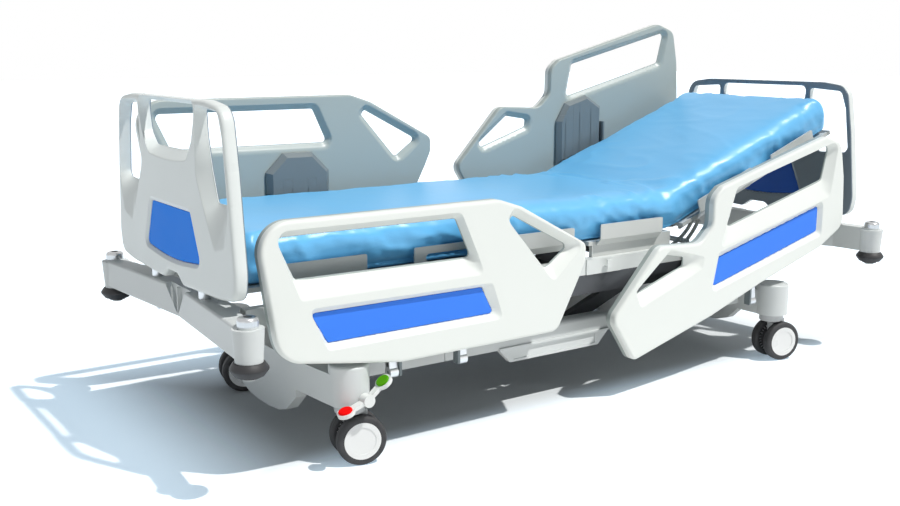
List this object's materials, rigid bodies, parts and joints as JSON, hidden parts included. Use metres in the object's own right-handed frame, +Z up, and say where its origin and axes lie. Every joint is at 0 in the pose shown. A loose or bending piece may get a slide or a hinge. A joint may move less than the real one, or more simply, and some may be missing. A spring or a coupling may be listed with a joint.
{
  "type": "adjustable hospital bed",
  "caption": "Height-adjustable hospital bed with raised backrest, sectioned mattress, swing-down side rails, lift-off boards and braked twin castors.",
  "frame": {"origin": "on the floor under the centre of the lowered bed", "axes": "+X towards the head end, +Y towards the far long side of the picture, +Z up"},
  "size_m": [2.309, 0.988, 1.077],
  "materials": {
    "cover_grey": "light grey satin",
    "frame_dark": "dark grey paint",
    "frame_light": "white powder coat",
    "motor_black": "black housing",
    "castor_grey": "grey moulding",
    "tyre_grey": "dark grey tread",
    "hub_white": "white cap",
    "pedal_white": "white lever",
    "pad_red": "red pad",
    "pad_green": "green pad",
    "bumper_black": "black disc",
    "deck_grey": "grey deck panels",
    "mattress_blue": "sky blue coated cover",
    "board_white": "off-white moulding",
    "insert_blue": "blue panel",
    "arm_steel": "plated steel",
    "cap_grey": "mid grey cover"
  },
  "bodies": {
    "chassis": {"chassis_frame": "frame_dark", "chassis_cover": "cover_grey", "castor_beams": "cover_grey", "lift_motor": "motor_black"},
    "brake": {"brake_pedal": "pedal_white", "brake_pad_red": "pad_red", "brake_pad_green": "pad_green"},
    "foot_lift": {"foot_lift_arms": "frame_dark"},
    "head_lift": {"head_lift_arms": "frame_dark"},
    "bed_frame": {"side_members": "frame_light", "lower_channels": "frame_dark", "end_crossbeams": "cover_grey", "seat_deck": "deck_grey", "mattress_seat": "mattress_blue"},
    "backrest": {"backrest_deck": "deck_grey", "mattress_back": "mattress_blue"},
    "thigh": {"thigh_deck": "deck_grey", "mattress_thigh": "mattress_blue"},
    "calf": {"calf_deck": "deck_grey", "mattress_calf": "mattress_blue"},
    "footboard": {"footboard": "board_white", "footboard_insert": "insert_blue"},
    "headboard": {"headboard": "board_white", "headboard_insert": "insert_blue"},
    "castor_foot_near": {"castor_fork_foot_near": "castor_grey"},
    "wheels_foot_near": {"castor_tyres_foot_near": "tyre_grey", "castor_discs_foot_near": "hub_white"},
    "bumper_foot_near": {"bumper_foot_near": "bumper_black"},
    "castor_foot_far": {"castor_fork_foot_far": "castor_grey"},
    "wheels_foot_far": {"castor_tyres_foot_far": "tyre_grey", "castor_discs_foot_far": "hub_white"},
    "bumper_foot_far": {"bumper_foot_far": "bumper_black"},
    "castor_head_near": {"castor_fork_head_near": "castor_grey"},
    "wheels_head_near": {"castor_tyres_head_near": "tyre_grey", "castor_discs_head_near": "hub_white"},
    "bumper_head_near": {"bumper_head_near": "bumper_black"},
    "castor_head_far": {"castor_fork_head_far": "castor_grey"},
    "wheels_head_far": {"castor_tyres_head_far": "tyre_grey", "castor_discs_head_far": "hub_white"},
    "bumper_head_far": {"bumper_head_far": "bumper_black"},
    "rail_arms_foot_near": {"rail_arms_foot_near": "arm_steel"},
    "rail_links_foot_near": {"rail_links_foot_near": "arm_steel"},
    "rail_foot_near": {"rail_foot_near": "board_white", "rail_insert_foot_near": "insert_blue", "rail_cover_foot_near": "cap_grey"},
    "rail_arms_foot_far": {"rail_arms_foot_far": "arm_steel"},
    "rail_links_foot_far": {"rail_links_foot_far": "arm_steel"},
    "rail_foot_far": {"rail_foot_far": "board_white", "rail_insert_foot_far": "insert_blue", "rail_cover_foot_far": "cap_grey"},
    "rail_arms_head_near": {"rail_arms_head_near": "arm_steel"},
    "rail_links_head_near": {"rail_links_head_near": "arm_steel"},
    "rail_head_near": {"rail_head_near": "board_white", "rail_insert_head_near": "insert_blue", "rail_cover_head_near": "cap_grey"},
    "rail_arms_head_far": {"rail_arms_head_far": "arm_steel"},
    "rail_links_head_far": {"rail_links_head_far": "arm_steel"},
    "rail_head_far": {"rail_head_far": "board_white", "rail_insert_head_far": "insert_blue", "rail_cover_head_far": "cap_grey"}
  },
  "joints": [
    {"name": "castor_swivel_foot_near", "type": "hinge", "parent": "chassis", "child": "castor_foot_near", "pos_m": [-0.808, -0.345, 0.15], "axis": [0, 0, 1], "continuous": true},
    {"name": "wheel_spin_foot_near", "type": "hinge", "parent": "castor_foot_near", "child": "wheels_foot_near", "pos_m": [-0.78854, -0.34963, 0.0625], "axis": [0.2317, 0.9728, 0], "continuous": true},
    {"name": "bumper_spin_foot_near", "type": "hinge", "parent": "bed_frame", "child": "bumper_foot_near", "pos_m": [-1.111, -0.4505, 0.312], "axis": [0, 0, 1], "continuous": true},
    {"name": "castor_swivel_foot_far", "type": "hinge", "parent": "chassis", "child": "castor_foot_far", "pos_m": [-0.808, 0.345, 0.15], "axis": [0, 0, 1], "continuous": true},
    {"name": "wheel_spin_foot_far", "type": "hinge", "parent": "castor_foot_far", "child": "wheels_foot_far", "pos_m": [-0.78854, 0.34036, 0.0625], "axis": [0.2317, 0.9728, 0], "continuous": true},
    {"name": "bumper_spin_foot_far", "type": "hinge", "parent": "bed_frame", "child": "bumper_foot_far", "pos_m": [-1.111, 0.4505, 0.312], "axis": [0, 0, 1], "continuous": true},
    {"name": "castor_swivel_head_near", "type": "hinge", "parent": "chassis", "child": "castor_head_near", "pos_m": [0.757, -0.345, 0.15], "axis": [0, 0, 1], "continuous": true},
    {"name": "wheel_spin_head_near", "type": "hinge", "parent": "castor_head_near", "child": "wheels_head_near", "pos_m": [0.77646, -0.34963, 0.0625], "axis": [0.2317, 0.9728, 0], "continuous": true},
    {"name": "bumper_spin_head_near", "type": "hinge", "parent": "bed_frame", "child": "bumper_head_near", "pos_m": [1.111, -0.4505, 0.312], "axis": [0, 0, 1], "continuous": true},
    {"name": "castor_swivel_head_far", "type": "hinge", "parent": "chassis", "child": "castor_head_far", "pos_m": [0.757, 0.345, 0.15], "axis": [0, 0, 1], "continuous": true},
    {"name": "wheel_spin_head_far", "type": "hinge", "parent": "castor_head_far", "child": "wheels_head_far", "pos_m": [0.77646, 0.34036, 0.0625], "axis": [0.2317, 0.9728, 0], "continuous": true},
    {"name": "bumper_spin_head_far", "type": "hinge", "parent": "bed_frame", "child": "bumper_head_far", "pos_m": [1.111, 0.4505, 0.312], "axis": [0, 0, 1], "continuous": true},
    {"name": "brake_tilt", "type": "hinge", "parent": "chassis", "child": "brake", "pos_m": [-0.795, -0.41, 0.17], "axis": [0, 1, 0], "range_deg": [0, 30]},
    {"name": "bed_lift", "type": "hinge", "parent": "chassis", "child": "foot_lift", "pos_m": [-0.7, 0, 0.16], "axis": [0, -1, 0], "range_deg": [0, 47]},
    {"name": "frame_level", "type": "hinge", "parent": "foot_lift", "child": "bed_frame", "pos_m": [-0.24176, 0, 0.33912], "axis": [0, -1, 0], "range_deg": [-47, 0]},
    {"name": "head_arm_lift", "type": "hinge", "parent": "chassis", "child": "head_lift", "pos_m": [-0.11, 0, 0.16], "axis": [0, -1, 0], "range_deg": [0, 47]},
    {"name": "backrest_tilt", "type": "hinge", "parent": "bed_frame", "child": "backrest", "pos_m": [0.304, 0, 0.574], "axis": [0, -1, 0], "range_deg": [-20, 50]},
    {"name": "thigh_tilt", "type": "hinge", "parent": "bed_frame", "child": "thigh", "pos_m": [-0.02, 0, 0.428], "axis": [0, 1, 0], "range_deg": [0, 30], "deforming": ["mattress_seat"]},
    {"name": "calf_tilt", "type": "hinge", "parent": "thigh", "child": "calf", "pos_m": [-0.375, 0, 0.428], "axis": [0, 1, 0], "range_deg": [-45.2, 0]},
    {"name": "footboard_lift", "type": "slide", "parent": "bed_frame", "child": "footboard", "axis": [0, 0, 1], "range_m": [0, 0.12]},
    {"name": "headboard_lift", "type": "slide", "parent": "bed_frame", "child": "headboard", "axis": [0, 0, 1], "range_m": [0, 0.12]},
    {"name": "rail_swing_foot_near", "type": "hinge", "parent": "bed_frame", "child": "rail_arms_foot_near", "pos_m": [-0.5805, -0.33, 0.3225], "axis": [-1, 0, 0], "range_deg": [0, 165.45]},
    {"name": "rail_upright_foot_near", "type": "hinge", "parent": "rail_arms_foot_near", "child": "rail_foot_near", "pos_m": [-0.5805, -0.345, 0.205], "axis": [-1, 0, 0], "range_deg": [-165.45, 0]},
    {"name": "rail_link_foot_near", "type": "hinge", "parent": "bed_frame", "child": "rail_links_foot_near", "pos_m": [-0.5805, -0.33, 0.3625], "axis": [-1, 0, 0], "range_deg": [0, 165.45]},
    {"name": "rail_swing_foot_far", "type": "hinge", "parent": "bed_frame", "child": "rail_arms_foot_far", "pos_m": [-0.5805, 0.33, 0.3225], "axis": [-1, 0, 0], "range_deg": [0, 165.45]},
    {"name": "rail_upright_foot_far", "type": "hinge", "parent": "rail_arms_foot_far", "child": "rail_foot_far", "pos_m": [-0.5805, 0.345, 0.44], "axis": [-1, 0, 0], "range_deg": [-165.45, 0]},
    {"name": "rail_link_foot_far", "type": "hinge", "parent": "bed_frame", "child": "rail_links_foot_far", "pos_m": [-0.5805, 0.33, 0.3625], "axis": [-1, 0, 0], "range_deg": [0, 165.45]},
    {"name": "rail_swing_head_near", "type": "hinge", "parent": "bed_frame", "child": "rail_arms_head_near", "pos_m": [0.5445, -0.33, 0.386], "axis": [-1, 0, 0], "range_deg": [0, 170.53]},
    {"name": "rail_upright_head_near", "type": "hinge", "parent": "rail_arms_head_near", "child": "rail_head_near", "pos_m": [0.5445, -0.345, 0.205], "axis": [-1, 0, 0], "range_deg": [-170.53, 0]},
    {"name": "rail_link_head_near", "type": "hinge", "parent": "bed_frame", "child": "rail_links_head_near", "pos_m": [0.5445, -0.33, 0.426], "axis": [-1, 0, 0], "range_deg": [0, 170.53]},
    {"name": "rail_swing_head_far", "type": "hinge", "parent": "bed_frame", "child": "rail_arms_head_far", "pos_m": [0.5445, 0.33, 0.386], "axis": [-1, 0, 0], "range_deg": [0, 170.53]},
    {"name": "rail_upright_head_far", "type": "hinge", "parent": "rail_arms_head_far", "child": "rail_head_far", "pos_m": [0.5445, 0.345, 0.567], "axis": [-1, 0, 0], "range_deg": [-170.53, 0]},
    {"name": "rail_link_head_far", "type": "hinge", "parent": "bed_frame", "child": "rail_links_head_far", "pos_m": [0.5445, 0.33, 0.426], "axis": [-1, 0, 0], "range_deg": [0, 170.53]}
  ],
  "couplings": [
    {"joint": "frame_level", "follows": "bed_lift", "ratio": -1},
    {"joint": "head_arm_lift", "follows": "bed_lift", "ratio": 1},
    {"joint": "calf_tilt", "follows": "thigh_tilt", "ratio": -1.505},
    {"joint": "rail_upright_foot_near", "follows": "rail_swing_foot_near", "ratio": -1},
    {"joint": "rail_link_foot_near", "follows": "rail_swing_foot_near", "ratio": 1},
    {"joint": "rail_upright_foot_far", "follows": "rail_swing_foot_far", "ratio": -1},
    {"joint": "rail_link_foot_far", "follows": "rail_swing_foot_far", "ratio": 1},
    {"joint": "rail_upright_head_near", "follows": "rail_swing_head_near", "ratio": -1},
    {"joint": "rail_link_head_near", "follows": "rail_swing_head_near", "ratio": 1},
    {"joint": "rail_upright_head_far", "follows": "rail_swing_head_far", "ratio": -1},
    {"joint": "rail_link_head_far", "follows": "rail_swing_head_far", "ratio": 1}
  ]
}
